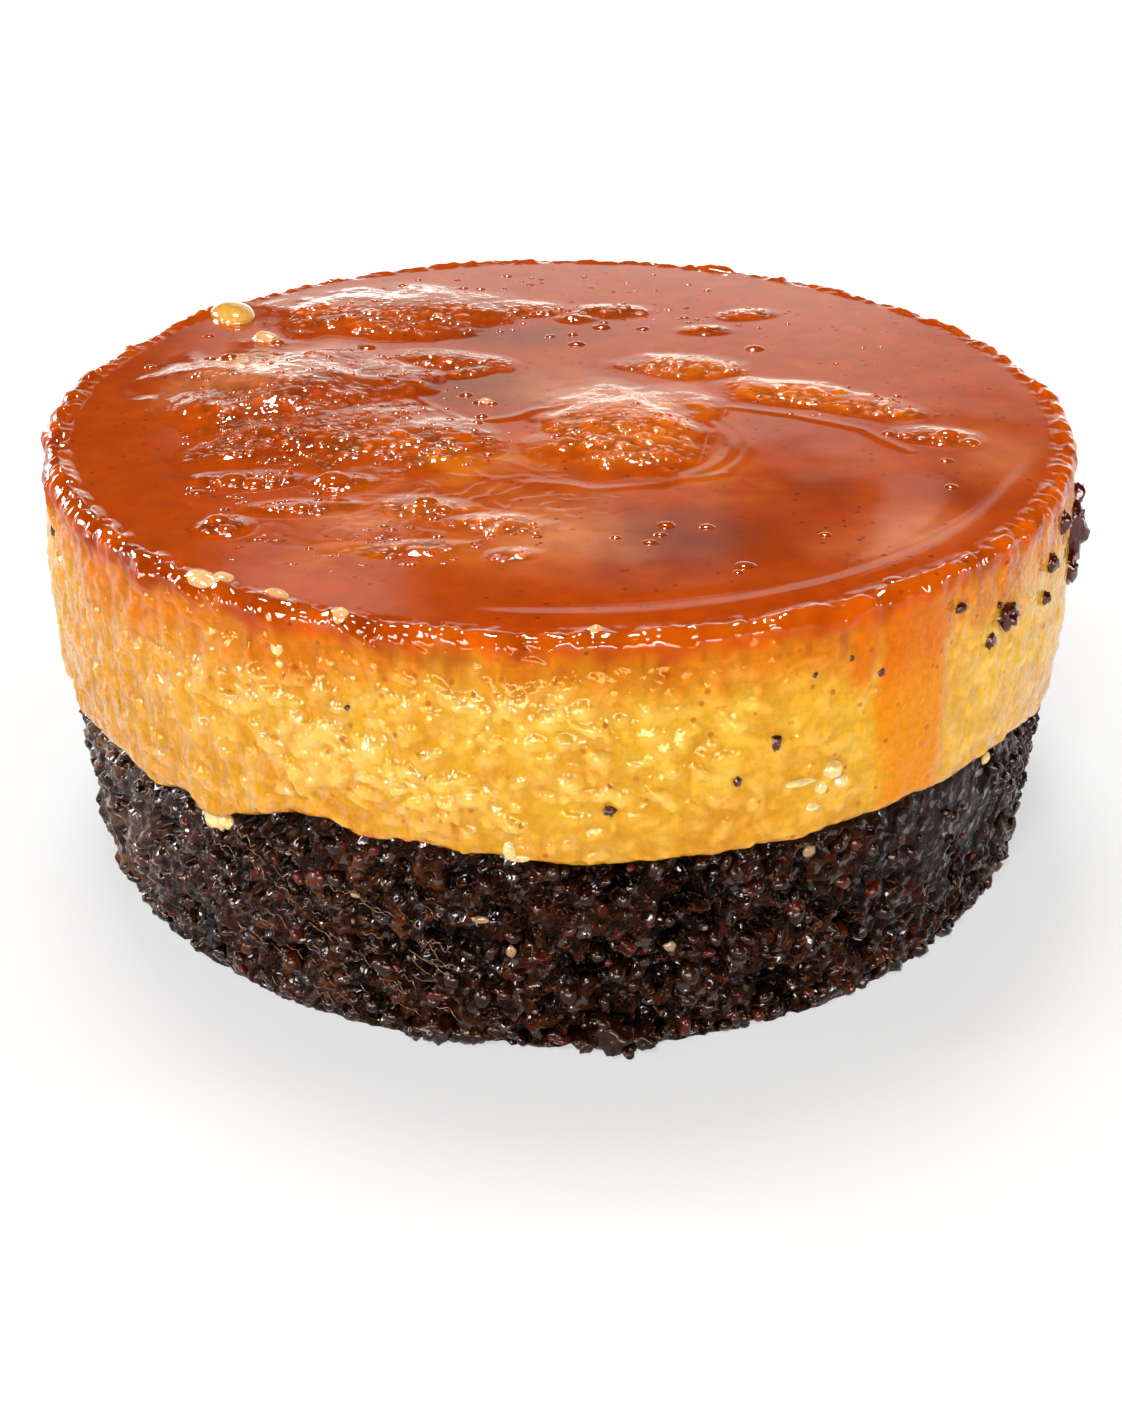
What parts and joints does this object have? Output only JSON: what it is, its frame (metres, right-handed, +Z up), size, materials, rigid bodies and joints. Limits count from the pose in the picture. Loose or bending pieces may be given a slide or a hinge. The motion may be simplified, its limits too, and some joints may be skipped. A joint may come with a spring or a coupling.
{
  "type": "chocoflan",
  "caption": "Round chocoflan: a soft baked custard over moist chocolate cake, with a craggy, glossy caramel top and syrup running down its side.",
  "frame": {"origin": "centre of the flat underside of the cake, at the middle of the part's bounding box", "axes": "+Z up out of the caramel top, -Y towards the front that the picture shows, +X to the right of that front"},
  "size_m": [0.1577, 0.1571, 0.0653],
  "materials": {
    "chocolate_cake": "coarse open crumb, moist, with a wet sheen",
    "custard": "smooth, slightly mottled, moist and glossy",
    "caramel": "clear wet syrup over stained custard"
  },
  "bodies": {
    "root": {"chocolate_cake": "chocolate_cake", "custard": "custard", "caramel": "caramel"}
  },
  "joints": []
}
